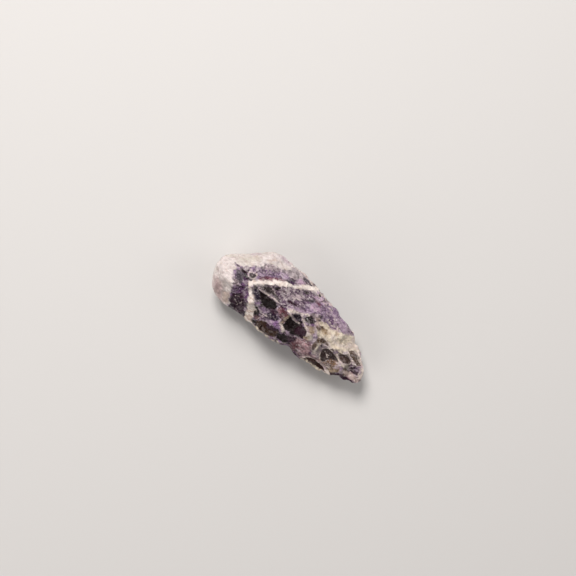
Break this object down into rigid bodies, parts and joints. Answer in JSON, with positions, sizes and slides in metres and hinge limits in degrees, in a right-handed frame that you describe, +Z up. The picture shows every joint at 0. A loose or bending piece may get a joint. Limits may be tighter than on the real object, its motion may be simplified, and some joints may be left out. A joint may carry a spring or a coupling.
{
  "type": "chevron amethyst",
  "caption": "Rough broken point of banded purple and white quartz, tapered at one end, lying on a flat fracture face.",
  "frame": {"origin": "middle of the bounding box, at its bottom, which is the flat face that the stone lies on", "axes": "+Z up, +X along the stone from its blunt milky end to its tapered tip, +Y across it"},
  "size_m": [0.0676, 0.0272, 0.023],
  "materials": {
    "chevron_quartz": "broken quartz: glassy dark purple and grey facets between frosted lavender, with milky white chevron bands"
  },
  "bodies": {
    "root": {"amethyst_point": "chevron_quartz"}
  },
  "joints": []
}
